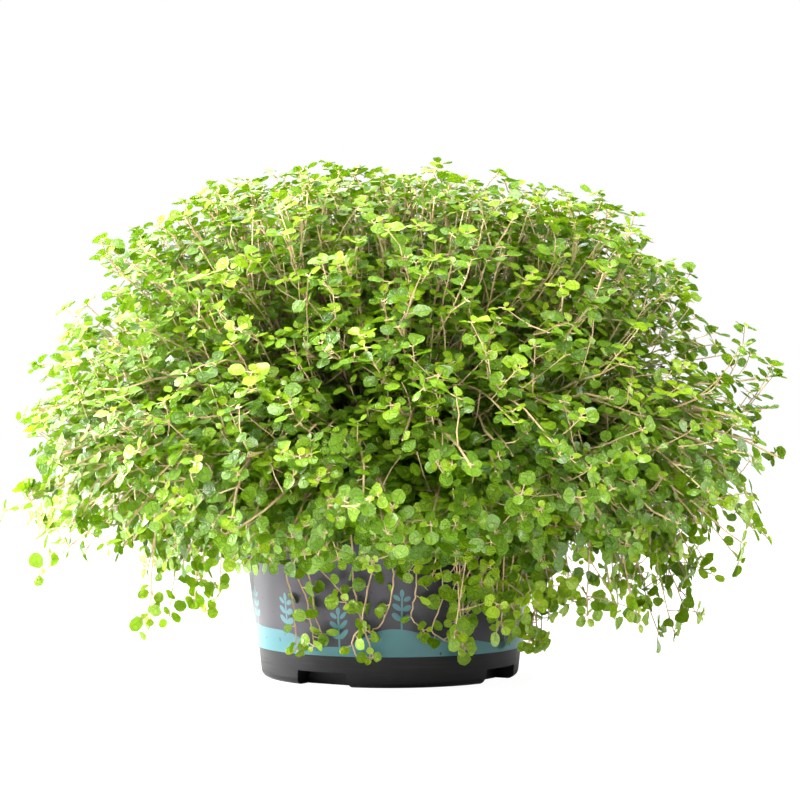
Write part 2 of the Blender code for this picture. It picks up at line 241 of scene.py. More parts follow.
def add_floor():
    select_only()
    bpy.ops.mesh.primitive_circle_add(vertices=64, radius=6, fill_type="NGON")
    floor = bpy.context.object
    floor.name = "floor"
    material = bpy.data.materials.new("floor")
    material.use_nodes = True
    shader = material.node_tree.nodes["Principled BSDF"]
    shader.inputs["Roughness"].default_value = 0.9
    shader.inputs["Specular IOR Level"].default_value = 0.0
    shader.inputs["Emission Color"].default_value = (1, 1, 1, 1)
    tree = material.node_tree
    differ_for_camera(tree, shader.inputs["Base Color"], FLOOR_WHITE, FLOOR_DIMMED)
    differ_for_camera(tree, shader.inputs["Emission Strength"], FLOOR_GLOW, FLOOR_SEEN)
    floor.data.materials.append(material)
    floor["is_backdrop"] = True


def add_sky():
    world = bpy.data.worlds.new("studio")
    world.use_nodes = True
    background = world.node_tree.nodes["Background"]
    background.inputs["Color"].default_value = (1, 1, 1, 1)
    differ_for_camera(world.node_tree, background.inputs["Strength"], SKY_LIGHT, SKY_SEEN)
    bpy.context.scene.world = world


for lamp in LAMPS:
    add_lamp(*lamp)
add_floor()
add_sky()
bpy.context.scene.view_settings.view_transform = "Standard"
print("lamps:", [lamp[0] for lamp in LAMPS])

# %% [markdown]
# ## Shader groups
#
# Effects that several finishes share are groups, built once. Each puts out only masks or
# heights, and the colours and roughness stay in each material. `new_group` makes the group and
# its sockets, `feed` sets or links the inputs of a node, and `calc` adds one Math node, so a
# formula reads from the inside out.

# %% Node helpers
def new_group(name, inputs, outputs):
    group = bpy.data.node_groups.new(name, "ShaderNodeTree")
    for label, kind, value in inputs:
        socket = group.interface.new_socket(label, in_out="INPUT", socket_type=kind)
        if value is not None:
            socket.default_value = value
    for label in outputs:
        group.interface.new_socket(label, in_out="OUTPUT", socket_type="NodeSocketFloat")
    return group, group.nodes.new("NodeGroupInput"), group.nodes.new("NodeGroupOutput")


def feed(tree, node, values):
    for key, value in values.items():
        socket = node.inputs[key]
        if isinstance(value, bpy.types.NodeSocket):
            tree.links.new(value, socket)
        else:
            socket.default_value = value
    return node


def add_node(tree, kind, values=None, **settings):
    node = tree.nodes.new(kind)
    for key, value in settings.items():
        setattr(node, key, value)
    return feed(tree, node, values or {})


def calc(tree, operation, first, second=0.0, third=0.0, clamp=False):
    node = tree.nodes.new("ShaderNodeMath")
    node.operation = operation
    node.use_clamp = clamp
    feed(tree, node, {0: first, 1: second, 2: third})
    return node.outputs[0]


def step_down(tree, value, edge, blur):
    """1 where the value is under the edge and 0 over it, with a soft border."""
    node = add_node(tree, "ShaderNodeMapRange", {0: value, 1: edge, 2: edge + blur, 3: 1, 4: 0})
    return node.outputs[0]


def mix_colours(tree, factor, first, second):
    node = tree.nodes.new("ShaderNodeMix")
    node.data_type = "RGBA"
    feed(tree, node, {0: factor, 6: first, 7: second})
    return node.outputs[2]


def new_material(name):
    material = bpy.data.materials.new(name)
    material.use_nodes = True
    tree = material.node_tree
    return material, tree, tree.nodes["Principled BSDF"]


# %% Groups: grain and patches
def make_grain():
    """Fine relief, such as moulded plastic, fibres or soil, as a height around 0.5."""
    group, inside, out = new_group(
        "grain",
        [("Vector", "NodeSocketVector", None), ("Scale", "NodeSocketFloat", 900.0)],
        ["Height"],
    )
    texture = add_node(
        group,
        "ShaderNodeTexNoise",
        {"Vector": inside.outputs["Vector"], "Scale": inside.outputs["Scale"], "Detail": 4.0},
    )
    group.links.new(texture.outputs[0], out.inputs["Height"])
    return group


def make_patches():
    """Broad soft patches, from 0 to 1, for colour that drifts over a surface."""
    group, inside, out = new_group(
        "patches",
        [("Vector", "NodeSocketVector", None), ("Scale", "NodeSocketFloat", 40.0)],
        ["Mask"],
    )
    texture = add_node(
        group,
        "ShaderNodeTexNoise",
        {"Vector": inside.outputs["Vector"], "Scale": inside.outputs["Scale"], "Detail": 2.0},
    )
    spread = add_node(
        group, "ShaderNodeMapRange", {0: texture.outputs[0], 1: 0.35, 2: 0.65, 3: 0, 4: 1}
    )
    group.links.new(spread.outputs[0], out.inputs["Mask"])
    return group


GRAIN = make_grain()
PATCHES = make_patches()


def use_group(tree, group, **values):
    node = tree.nodes.new("ShaderNodeGroup")
    node.node_tree = group
    return feed(tree, node, values)


def place_on_object(tree):
    return tree.nodes.new("ShaderNodeTexCoord").outputs["Object"]


def add_bump(tree, height, strength, distance):
    return add_node(
        tree,
        "ShaderNodeBump",
        {"Height": height, "Strength": strength, "Distance": distance},
    ).outputs[0]


print("groups:", GRAIN.name, PATCHES.name)

# %% [markdown]
# ## Pot
#
# The pot is moulded black plastic: a thin cone with a rolled rim, a foot ring with four
# notches, and drain holes. A turned shape could be a lathe modifier on a curve, but drawing its
# section by extruding one corner and spinning it keeps every step in edit mode. The notches and
# drains are then cut with Boolean modifiers, and a small bevel catches light on their edges.

# %% Draw a section and spin it
SPIN_STEPS = 96


def trace(points):
    """A wire through (radius, height) points, drawn by extruding one corner."""
    select_only()
    bpy.ops.mesh.primitive_plane_add(size=0.001)
    wire = bpy.context.object
    bpy.ops.object.mode_set(mode="EDIT")
    bpy.ops.mesh.select_all(action="SELECT")
    bpy.ops.mesh.merge(type="CENTER")
    bpy.ops.transform.translate(value=(points[0][0], 0, points[0][1]))
    for start, end in zip(points, points[1:]):
        step = (end[0] - start[0], 0, end[1] - start[1])
        bpy.ops.mesh.extrude_region_move(TRANSFORM_OT_translate={"value": step})
    bpy.ops.object.mode_set(mode="OBJECT")
    return wire


def turned(points, steps=SPIN_STEPS):
    """A solid turned round the pot's axis from its section."""
    shape = trace(points)
    bpy.ops.object.mode_set(mode="EDIT")
    bpy.ops.mesh.select_all(action="SELECT")
    bpy.ops.mesh.spin(steps=steps, angle=math.tau, center=(0, 0, 0), axis=(0, 0, 1))
    bpy.ops.object.mode_set(mode="OBJECT")
    face_outwards(shape)
    return shape


def rounded(middle, radius, first, last, steps=5):
    """Points on a round corner, by the angles where it starts and ends."""
    points = []
    for count in range(steps + 1):
        angle = math.radians(first + (last - first) * count / steps)
        points.append((middle[0] + radius * math.cos(angle), middle[1] + radius * math.sin(angle)))
    return points


FOOT_ROUND = 0.0026
FOOT_WIDTH = 0.0085
FLOOR_SLOPE = 0.002
PAD_RADIUS = 0.022
RIM_ROUND = 0.0009


def pot_section():
    foot_inside = FOOT_RADIUS - FOOT_WIDTH
    floor_top = FLOOR_LIFT + FLOOR
    lip_bottom = POT_HEIGHT - RIM_DEPTH
    inside_top = wall_radius(POT_HEIGHT) - WALL
    corner = (wall_radius(FOOT_ROUND) - FOOT_ROUND, FOOT_ROUND)
    return [
        (0, FLOOR),
        (PAD_RADIUS, FLOOR),
        (PAD_RADIUS + FLOOR_SLOPE, floor_top),
        (wall_radius(floor_top) - WALL, floor_top),
        (inside_top, POT_HEIGHT - RIM_ROUND),
        *rounded((inside_top + RIM_ROUND, POT_HEIGHT - RIM_ROUND), RIM_ROUND, 180, 90),
        *rounded((RIM_RADIUS - RIM_ROUND, POT_HEIGHT - RIM_ROUND), RIM_ROUND, 90, 0),
        (RIM_RADIUS, lip_bottom + 0.0003),
        (RIM_RADIUS - 0.0004, lip_bottom),
        (wall_radius(lip_bottom), lip_bottom),
        *rounded(corner, FOOT_ROUND, 0, -90),
        (foot_inside, 0),
        (foot_inside - FLOOR_SLOPE, FLOOR_LIFT),
        (PAD_RADIUS + FLOOR_SLOPE, FLOOR_LIFT),
        (PAD_RADIUS, 0),
        (0, 0),
    ]


pot = turned(pot_section())
print("pot section turned:", len(pot.data.vertices), "corners")

# %% Cut the foot notches and the drain holes
NOTCH_FIRST = math.radians(-121)
NOTCH_LENGTH, NOTCH_HEIGHT = 0.0235, 0.0053
NOTCH_TOP_SHARE = 0.86
DRAIN_COUNT, DRAIN_CIRCLE, DRAIN_RADIUS = 8, 0.031, 0.004


def notch_cutter(angle):
    """A box at the foot ring, with its upper corners pulled together."""
    select_only()
    bpy.ops.mesh.primitive_cube_add(size=1)
    cutter = bpy.context.object
    cutter.scale = (FOOT_WIDTH * 2, NOTCH_LENGTH, NOTCH_HEIGHT * 2)
    cutter.location = (FOOT_RADIUS * math.cos(angle), FOOT_RADIUS * math.sin(angle), 0)
    cutter.rotation_euler = (0, 0, angle)
    for corner in cutter.data.vertices:
        if corner.co.z > 0:
            corner.co.y *= NOTCH_TOP_SHARE
    return cutter


def drain_cutter(angle):
    select_only()
    bpy.ops.mesh.primitive_cylinder_add(
        vertices=24,
        radius=DRAIN_RADIUS,
        depth=4 * FLOOR,
        location=(DRAIN_CIRCLE * math.cos(angle), DRAIN_CIRCLE * math.sin(angle), FLOOR_LIFT),
    )
    return bpy.context.object


def cut(item, cutters):
    for cutter in cutters:
        boolean = item.modifiers.new("cut", "BOOLEAN")
        boolean.operation = "DIFFERENCE"
        boolean.object = cutter
        boolean.solver = "EXACT"
    apply_modifiers(item)
    for cutter in cutters:
        bpy.data.objects.remove(cutter, do_unlink=True)


cutters = [notch_cutter(NOTCH_FIRST + count * math.tau / 4) for count in range(4)]
cutters += [drain_cutter((count + 0.5) * math.tau / DRAIN_COUNT) for count in range(DRAIN_COUNT)]
cut(pot, cutters)
bevel = pot.modifiers.new("soft edges", "BEVEL")
bevel.width = 0.0003
bevel.segments = 2
bevel.limit_method = "ANGLE"
bevel.angle_limit = math.radians(50)
apply_modifiers(pot)
bpy.ops.object.shade_smooth_by_angle(angle=math.radians(35))
even = pot.modifiers.new("even shading", "WEIGHTED_NORMAL")
even.keep_sharp = True
apply_modifiers(pot)
print("pot cut:", len(pot.data.polygons), "faces")

# %% Pot plastic
POT_COLOUR = (0.0095, 0.009, 0.0105, 1)
POT_DUST = (0.036, 0.033, 0.034, 1)


def make_pot_plastic():
    """Charcoal plastic with a fine moulded grain, scuffs, and dust from the soil."""
    material, tree, shader = new_material("pot plastic")
    place = place_on_object(tree)
    dust = use_group(tree, PATCHES, Vector=place, Scale=55.0)
    grain = use_group(tree, GRAIN, Vector=place, Scale=2400.0)
    streaks = add_node(tree, "ShaderNodeMapping", {"Vector": place, "Scale": (40, 40, 900)})
    scuff = add_node(
        tree, "ShaderNodeTexNoise", {"Vector": streaks.outputs[0], "Scale": 1.0, "Detail": 3.0}
    )
    worn = add_node(tree, "ShaderNodeMapRange", {0: scuff.outputs[0], 1: 0.55, 2: 0.75, 3: 0, 4: 0.35})
    amount = calc(tree, "MULTIPLY", dust.outputs["Mask"], 0.22)
    amount = calc(tree, "ADD", amount, worn.outputs[0], clamp=True)
    colour = mix_colours(tree, amount, POT_COLOUR, POT_DUST)
    rough = calc(tree, "MULTIPLY_ADD", amount, 0.35, 0.36)
    feed(tree, shader, {"Base Color": colour, "Roughness": rough, "Specular IOR Level": 0.24})
    tree.links.new(add_bump(tree, grain.outputs["Height"], 0.25, 0.0002), shader.inputs["Normal"])
    return material


finish_piece(pot, "pot_shell", make_pot_plastic(), ["pot"])

# %% [markdown]
# ## Printed sleeve
#
# A thin printed sleeve wraps the wall from just under the rim to a finger above the floor. Its
# purple grey carries a teal border. The border here is a plain design of its own: low waves, and
# sprigs of oval leaves at even steps. It is drawn by formulas of the angle round the pot and the
# height, so it needs no picture.

# %% Sleeve shape
SLEEVE_GAP, SLEEVE_THICKNESS = 0.0003, 0.00035


def sleeve_section():
    inner = SLEEVE_GAP
    outer = SLEEVE_GAP + SLEEVE_THICKNESS
    soft = SLEEVE_THICKNESS / 3
    bottom, top = wall_radius(SLEEVE_BOTTOM), wall_radius(SLEEVE_TOP)
    return [
        (top + inner, SLEEVE_TOP - soft),
        (top + inner + soft, SLEEVE_TOP),
        (top + outer - soft, SLEEVE_TOP),
        (top + outer, SLEEVE_TOP - soft),
        (bottom + outer, SLEEVE_BOTTOM + soft),
        (bottom + outer - soft, SLEEVE_BOTTOM),
        (bottom + inner + soft, SLEEVE_BOTTOM),
        (bottom + inner, SLEEVE_BOTTOM + soft),
        (top + inner, SLEEVE_TOP - soft),
    ]


sleeve = turned(sleeve_section())
select_only(sleeve)
bpy.ops.object.shade_smooth_by_angle(angle=math.radians(35))
print("sleeve:", len(sleeve.data.polygons), "faces")

# %% Group: the sleeve's print
PRINT_BLUR = 0.0001
STRIP_TOP = 0.0146
SPRIG_COUNT = 14
SPRIG_LEAVES = ((0.0035, 0.0019), (0.0070, 0.0017), (0.0103, 0.0014))
SPRIG_TILT = math.radians(38)


def oval(tree, across, up, centre, length, tilt):
    """A mask that is 1 inside a tilted oval, with its middle at a place on the sleeve."""
    dx = calc(tree, "SUBTRACT", across, centre[0])
    dy = calc(tree, "SUBTRACT", up, centre[1])
    cos, sin = math.cos(tilt), math.sin(tilt)
    along = calc(tree, "ADD", calc(tree, "MULTIPLY", dx, cos), calc(tree, "MULTIPLY", dy, sin))
    side = calc(tree, "SUBTRACT", calc(tree, "MULTIPLY", dy, cos), calc(tree, "MULTIPLY", dx, sin))
    wide = calc(tree, "MULTIPLY", side, 1.9)
    squares = calc(tree, "ADD", calc(tree, "POWER", along, 2.0), calc(tree, "POWER", wide, 2.0))
    far = calc(tree, "SQRT", squares)
    return step_down(tree, far, length, PRINT_BLUR)


def make_print():
    group, inside, out = new_group(
        "sleeve print", [("Vector", "NodeSocketVector", None)], ["Mask"]
    )
    split = add_node(group, "ShaderNodeSeparateXYZ", {0: inside.outputs["Vector"]})
    x, y, height = split.outputs
    back = calc(group, "MULTIPLY", y, -1.0)
    angle = calc(group, "ARCTAN2", x, back)
    slow = calc(group, "SINE", calc(group, "MULTIPLY_ADD", angle, 5.0, 0.9))
    quick = calc(group, "SINE", calc(group, "MULTIPLY_ADD", angle, 9.0, 2.0))
    wave = calc(group, "MULTIPLY_ADD", slow, 0.0030, 0.0032)
    wave = calc(group, "ADD", wave, calc(group, "MULTIPLY", quick, 0.0012))
    edge = calc(group, "MAXIMUM", wave, 0.0)
    above = calc(group, "SUBTRACT", height, edge)
    waves = step_down(group, above, STRIP_TOP, PRINT_BLUR)
    turn = calc(group, "MULTIPLY_ADD", angle, SPRIG_COUNT / math.tau, 0.31)
    cell = calc(group, "SUBTRACT", calc(group, "FRACT", turn), 0.5)
    across = calc(group, "MULTIPLY", cell, math.tau * wall_radius(0.02) / SPRIG_COUNT)
    mirrored = calc(group, "ABSOLUTE", across)
    up = calc(group, "SUBTRACT", above, STRIP_TOP)
    stalk = step_down(group, mirrored, 0.0003, PRINT_BLUR)
    below_bud = step_down(group, up, 0.0118, PRINT_BLUR)
    mask = calc(group, "MULTIPLY", stalk, below_bud)
    mask = calc(group, "MAXIMUM", mask, waves)
    for at, length in SPRIG_LEAVES:
        leaf = oval(group, mirrored, up, (0.0018, at + 0.0009), length, SPRIG_TILT)
        mask = calc(group, "MAXIMUM", mask, leaf)
    bud = oval(group, across, up, (0.0, 0.0128), 0.0014, math.pi / 2)
    mask = calc(group, "MAXIMUM", mask, bud)
    group.links.new(mask, out.inputs["Mask"])
    return group


PRINT = make_print()

# %% Sleeve finish
SLEEVE_GREY = (0.042, 0.037, 0.047, 1)
SLEEVE_TEAL = (0.072, 0.205, 0.230, 1)


def make_sleeve_print():
    """Satin printed film, faintly mottled, with a few specks of soil."""
    material, tree, shader = new_material("sleeve print")
    place = place_on_object(tree)
    print_mask = use_group(tree, PRINT, Vector=place)
    drift = use_group(tree, PATCHES, Vector=place, Scale=30.0)
    grain = use_group(tree, GRAIN, Vector=place, Scale=1800.0)
    specks = add_node(tree, "ShaderNodeTexNoise", {"Vector": place, "Scale": 420.0, "Detail": 1.0})
    dirt = add_node(tree, "ShaderNodeMapRange", {0: specks.outputs[0], 1: 0.73, 2: 0.76, 3: 0, 4: 0.8})
    ink = mix_colours(tree, print_mask.outputs["Mask"], SLEEVE_GREY, SLEEVE_TEAL)
    faded = mix_colours(tree, calc(tree, "MULTIPLY", drift.outputs["Mask"], 0.10), ink, (0.35, 0.33, 0.38, 1))
    colour = mix_colours(tree, dirt.outputs[0], faded, (0.02, 0.014, 0.010, 1))
    rough = calc(tree, "MULTIPLY_ADD", drift.outputs["Mask"], 0.10, 0.30)
    feed(
        tree,
        shader,
        {"Base Color": colour, "Roughness": rough, "Specular IOR Level": 0.24, "Coat Weight": 0.04},
    )
    tree.links.new(add_bump(tree, grain.outputs["Height"], 0.10, 0.0001), shader.inputs["Normal"])
    return material


finish_piece(sleeve, "sleeve_wrap", make_sleeve_print(), ["print_sleeve"])

# %% [markdown]
# ## Soil
#
# Little of the soil shows, but from above its surface is what the stems come out of. It is a
# turned plug whose top is pushed up and down by smooth noise, with crumbs sunk into it. The
# crumb is one small rough stone, copied with a new size and turn each time.

# %% Soil plug
SOIL_RINGS = 20


def soil_height(x, y):
    broad = noise.noise(Vector((x, y, 0)) * 60)
    fine = noise.noise(Vector((x, y, 0.5)) * 260)
    return 0.0014 * broad + 0.0007 * fine


def soil_section():
    bottom = FLOOR_LIFT + FLOOR + 0.0003
    edge = wall_radius(SOIL_TOP) - WALL - 0.0006
    foot = wall_radius(bottom) - WALL - 0.0006
    rings = [(edge * ring / SOIL_RINGS, SOIL_TOP) for ring in range(SOIL_RINGS + 1)]
    return [*rings, (foot, bottom), (0, bottom)]


soil = turned(soil_section(), 72)
for corner in soil.data.vertices:
    if corner.co.z > SOIL_TOP - 0.001:
        corner.co.z += soil_height(corner.co.x, corner.co.y)
select_only(soil)
bpy.ops.object.shade_smooth()

# %% Crumbs on the soil
CRUMBS = 420
draw = np.random.default_rng(3)


def build_mesh(name, points, triangles):
    """One mesh from arrays of corners and of triangles."""
    mesh = bpy.data.meshes.new(name)
    mesh.vertices.add(len(points))
    mesh.vertices.foreach_set("co", points.astype(np.float32).ravel())
    mesh.loops.add(triangles.size)
    mesh.loops.foreach_set("vertex_index", triangles.astype(np.int32).ravel())
    mesh.polygons.add(len(triangles))
    mesh.polygons.foreach_set("loop_start", np.arange(0, triangles.size, 3, dtype=np.int32))
    mesh.update(calc_edges=True)
    item = bpy.data.objects.new(name, mesh)
    bpy.context.scene.collection.objects.link(item)
    return item


def read_shape(item):
    """The corners and triangles of a small model, which is then removed."""
    points = np.array([corner.co[:] for corner in item.data.vertices])
    triangles = np.array([face.vertices[:] for face in item.data.polygons])
    bpy.data.objects.remove(item, do_unlink=True)
    return points, triangles


def random_turn(draw):
    """A random orientation, as three rows at right angles."""
    turn, _ = np.linalg.qr(draw.normal(size=(3, 3)))
    return turn if np.linalg.det(turn) > 0 else -turn


select_only()
bpy.ops.mesh.primitive_ico_sphere_add(subdivisions=1, radius=1)
crumb, crumb_faces = read_shape(bpy.context.object)
crumb *= draw.uniform(0.7, 1.15, size=(len(crumb), 1))
spots, shells = [], []
edge = wall_radius(SOIL_TOP) - WALL - 0.003
for count in range(CRUMBS):
    angle = draw.uniform(0, math.tau)
    radius = edge * math.sqrt(draw.uniform())
    x, y = radius * math.cos(angle), radius * math.sin(angle)
    size = 0.0006 + 0.0013 * draw.uniform() ** 2
    spots.append((x, y, SOIL_TOP + soil_height(x, y) + 0.2 * size))
    shells.append(size * crumb @ random_turn(draw))
points = np.concatenate([np.array(spot) + shell for spot, shell in zip(spots, shells)])
faces = np.concatenate([crumb_faces + count * len(crumb) for count in range(CRUMBS)])
crumbs = build_mesh("soil_crumbs", points, faces)
print("crumbs:", CRUMBS)

# %% Soil finish
SOIL_DARK = (0.018, 0.011, 0.007, 1)
SOIL_PALE = (0.095, 0.060, 0.036, 1)


def make_soil():
    """Damp peat: dark brown with paler fibres, and quite rough."""
    material, tree, shader = new_material("peat")
    place = place_on_object(tree)
    grain = use_group(tree, GRAIN, Vector=place, Scale=700.0)
    patches = use_group(tree, PATCHES, Vector=place, Scale=160.0)
    colour = mix_colours(tree, patches.outputs["Mask"], SOIL_DARK, SOIL_PALE)
    rough = calc(tree, "MULTIPLY_ADD", grain.outputs["Height"], 0.2, 0.75)
    feed(tree, shader, {"Base Color": colour, "Roughness": rough})
    tree.links.new(add_bump(tree, grain.outputs["Height"], 0.9, 0.0008), shader.inputs["Normal"])
    return material


PEAT = make_soil()
finish_piece(soil, "soil_plug", PEAT, ["soil"])
finish_piece(crumbs, "soil_crumbs", PEAT, ["soil"])

# %% [markdown]
# ## One leaf
#
# A leaf is a round blade with a shallow notch where its stalk joins, a little thicker in the
# middle and cupped or folded along its midrib. It starts as a very flat cone, whose base is a
# fan of triangles too, so each leaf is a closed shape of 14 or 20 triangles. The notch is moved
# in edit mode, and the cupping is a formula over the corners. Seven shapes are enough, because
# each copy gets its own turn, size and colour.

# %% Model the leaves
LEAF_THICKNESS = 0.05
NOTCH = 0.10
LEAF_SHAPES = (
    # corners, width, fold along the midrib, cup, curl of the tip
    (10, 1.00, 0.16, 0.12, -0.10),
    (10, 1.06, 0.34, 0.00, -0.05),
    (10, 0.96, 0.05, 0.30, -0.25),
    (10, 1.02, -0.14, -0.16, -0.30),
    (10, 1.12, 0.40, 0.12, -0.20),
    (7, 1.00, 0.15, 0.10, -0.10),
    (7, 0.95, -0.10, 0.15, -0.20),
)
FINE_SHAPES = 5


def model_leaf(corners, width, fold, cup, curl):
    """A leaf one unit long that starts at the origin and points along +X, its face up."""
    select_only()
    bpy.ops.mesh.primitive_cone_add(
        vertices=corners,
        radius1=0.5,
        radius2=0,
        depth=LEAF_THICKNESS,
        end_fill_type="TRIFAN",
        rotation=(0, 0, math.radians(90)),
    )
    leaf = bpy.context.object
    bpy.ops.object.transform_apply(location=False, rotation=True, scale=False)
    for corner in leaf.data.vertices:
        corner.select = corner.co.x < -0.49
    bpy.ops.object.mode_set(mode="EDIT")
    bpy.ops.mesh.select_mode(type="VERT")
    bpy.ops.transform.translate(value=(NOTCH, 0, 0))
    bpy.ops.object.mode_set(mode="OBJECT")
    for corner in leaf.data.vertices:
        x, y = corner.co.x, corner.co.y
        corner.co.y *= width
        corner.co.z += fold * abs(y) + cup * (x * x + y * y) + curl * max(x, 0) ** 2
        corner.co.x += 0.5 - NOTCH
    return leaf


def leaf_arrays(shape):
    """Corners, triangles and the flat map of a leaf: the underside lies one unit further on."""
    points, triangles = read_shape(model_leaf(*shape))
    a, b, c = points[triangles[:, 0]], points[triangles[:, 1]], points[triangles[:, 2]]
    faces_down = np.cross(b - a, c - a)[:, 2] < 0
    flat = points[triangles][:, :, :2] + (0.0, 0.5)
    flat[:, :, 0] = 0.05 + 0.9 * np.clip(flat[:, :, 0], 0, 1) + faces_down[:, None]
    return points, triangles, flat


leaf_models = [leaf_arrays(shape) for shape in LEAF_SHAPES]
print("leaf triangles:", [len(model[1]) for model in leaf_models])

# %% [markdown]
# ## How the plant grows
#
# Each stem leaves the soil upright, bends outwards and ends near the mound's skin. Directions
# come from a golden-angle spiral, which covers the dome evenly, with more of them on the crown
# and round the low edge. Each stem wanders a little, and side shoots leave its outer half. Those
# on the sides are stouter, because more of them shows between the leaves. Leaves stand on short
# stalks, left and right in turn, and three to five crowd round each tip. A leaf turns its face
# up and outwards, to the light. Young leaves at the tips are lime green, and old ones inside are
# dark.
# Stems that end low on the mound get somewhat darker leaves, as painted shade for the low side.

# %% Growing sizes
SEED = 11
STEMS = 560
POLAR_MAX = math.radians(104)
CROWN_INNER, CROWN_OUTER = 0.003, 0.047
STEM_POINTS = 12
STEM_RADIUS, TIP_RADIUS, STALK_RADIUS = 0.00046, 0.00028, 0.00020
SHOOTS = 3
SHOOT_POINTS = 4
LEAF_STEP = 0.0050
SHOOT_LEAF_STEP = 0.0040
LEAF_SMALL, LEAF_LARGE = 0.0035, 0.0061
OLD_LEAVES, OLD_LARGE = 2, 0.0070
CROWN_LEAF, CROWN_TURN = 0.78, math.radians(62)
SKIN = 0.975
TOP_STEMS, TOP_LAST = 170, math.radians(54)
FRINGE = 190
FRINGE_FIRST, FRINGE_LAST = math.radians(84), math.radians(113)
SKIRT = 64
SKIRT_SPAN = (math.radians(-150), math.radians(-32))
SKIRT_POLAR = (math.radians(96), math.radians(111))
LUMPS = (
    # azimuth and angle from up of the middle of a lump, its spread in degrees, and its rise
    (180, 60, 9, -0.004),
    (0, 58, 9, -0.006),
    (0, 44, 10, 0.005),
    (180, 44, 10, 0.005),
    (0, 110, 9, 0.042),
    (180, 109, 9, 0.040),
    (0, 95, 6, -0.006),
    (180, 95, 6, -0.004),
    (0, 80, 11, 0.005),
    (10, 16, 15, -0.006),
    (180, 14, 10, 0.003),
)
GOLDEN_ANGLE = math.pi * (3 - math.sqrt(5))
draw = np.random.default_rng(SEED)
leaves = []
twigs = []


def unit(vector):
    return vector / max(np.linalg.norm(vector), 1e-9)


def direction(azimuth, polar):
    squash = MOUND_DEPTH / MOUND_WIDTH
    flat = math.sin(polar)
    return np.array((flat * math.cos(azimuth), flat * math.sin(azimuth) * squash, math.cos(polar)))


def skin(azimuth, polar):
    """How far the mound reaches in a direction, with its lumps."""
    reach = mound_reach(polar)
    way = unit(direction(azimuth, polar))
    for lump_azimuth, lump_polar, spread, rise in LUMPS:
        lump = unit(direction(math.radians(lump_azimuth), math.radians(lump_polar)))
        apart = math.degrees(math.acos(min(1.0, float(way @ lump))))
        reach += rise * math.exp(-((apart / spread) ** 2))
    broad = noise.noise(Vector(way) * 3.2)
    close = noise.noise(Vector(way) * 10.0)
    return reach * (1 + 0.03 * broad + 0.035 * close)


def in_mound(azimuth, polar, share):
    return MIDDLE + direction(azimuth, polar) * skin(azimuth, polar) * share


def smooth_path(knots, count):
    """Points along a smooth curve through the knots."""
    knots = np.array(knots)
    ends = np.vstack((2 * knots[0] - knots[1], knots, 2 * knots[-1] - knots[-2]))
    points = []
    for at in np.linspace(0, len(knots) - 1 - 1e-9, count):
        index = int(at)
        t = at - index
        a, b, c, d = ends[index : index + 4]
        points.append(
            0.5
            * (2 * b + (c - a) * t + (2 * a - 5 * b + 4 * c - d) * t**2 + (3 * b - a - 3 * c + d) * t**3)
        )
    return np.array(points)


def wander(path, amount):
    """Lets a path sway and kink a little, more towards its end."""
    along = np.linspace(0, 1, len(path))[:, None]
    sway = draw.normal(size=3) * np.sin(math.pi * along) + draw.normal(size=3) * np.sin(math.tau * along)
    kink = draw.normal(size=path.shape) * 0.16
    kink[0] = 0
    return path + amount * (0.5 * sway + kink) * np.minimum(1, along * 3)


print("directions:", STEMS)

# %% Leaves on a path
FACE_UP, FACE_OUT, FACE_ANY = (0.80, 0.28), (0.42, 0.62), (0.34, 0.48)
FACE_TURN, FACE_SPAN = 0.100, 0.050


def facing(node, any_way=None):
    """The way a leaf turns its face: up on the mound, more outwards where stems hang down."""
    outward = unit(node - MIDDLE * 0.8)
    low = min(1.0, max(0.0, (FACE_TURN - node[2]) / FACE_SPAN))
    up, out, chance = [high + (low_value - high) * low for high, low_value in (FACE_UP, FACE_OUT, FACE_ANY)]
    chance = chance if any_way is None else any_way
    return unit(up * UP + out * outward + chance * draw.normal(size=3))


def add_leaf(piece, node, toward, face, size, age, fine):
    """Notes one leaf on its stalk: where it starts, where it points and where it faces."""
    toward = unit(toward + 0.15 * draw.normal(size=3))
    face = unit(face - toward * float(face @ toward))
    stalk = size * draw.uniform(0.15, 0.45)
    base = node + stalk * toward
    if fine:
        ends = np.array((node, base + 0.1 * size * toward))
        twigs.append((piece, ends, (STALK_RADIUS, STALK_RADIUS)))
        shape = int(draw.integers(0, FINE_SHAPES))
    else:
        shape = int(draw.integers(FINE_SHAPES, len(LEAF_SHAPES)))
    tone = float(np.clip(draw.normal(0.5, 0.22), 0, 1))
    leaves.append((piece, shape, base, toward, face, size, float(np.clip(age, 0, 1)), tone))


def tuft(piece, node, along, count, sizes, age, fine):
    """A rosette at a tip: large leaves and small lime ones by turns, round one direction."""
    face = unit(facing(node, 0.22) + 0.35 * along)
    across = unit(np.cross(face, draw.normal(size=3)))
    lift = np.cross(face, across)
    turn = draw.uniform(0, math.tau)
    for number in range(count):
        angle = turn + (number + 0.25 * draw.uniform(-1, 1)) * math.tau / count
        large = number % 2 == 0
        toward = across * math.cos(angle) + lift * math.sin(angle) + (0.12 if large else 0.5) * face
        size = draw.uniform(*sizes) * (draw.uniform(0.85, 1.05) if large else draw.uniform(0.45, 0.7))
        own = unit(face + 0.22 * draw.normal(size=3))
        add_leaf(piece, node, toward, own, size, age + (0.0 if large else 0.25), fine)


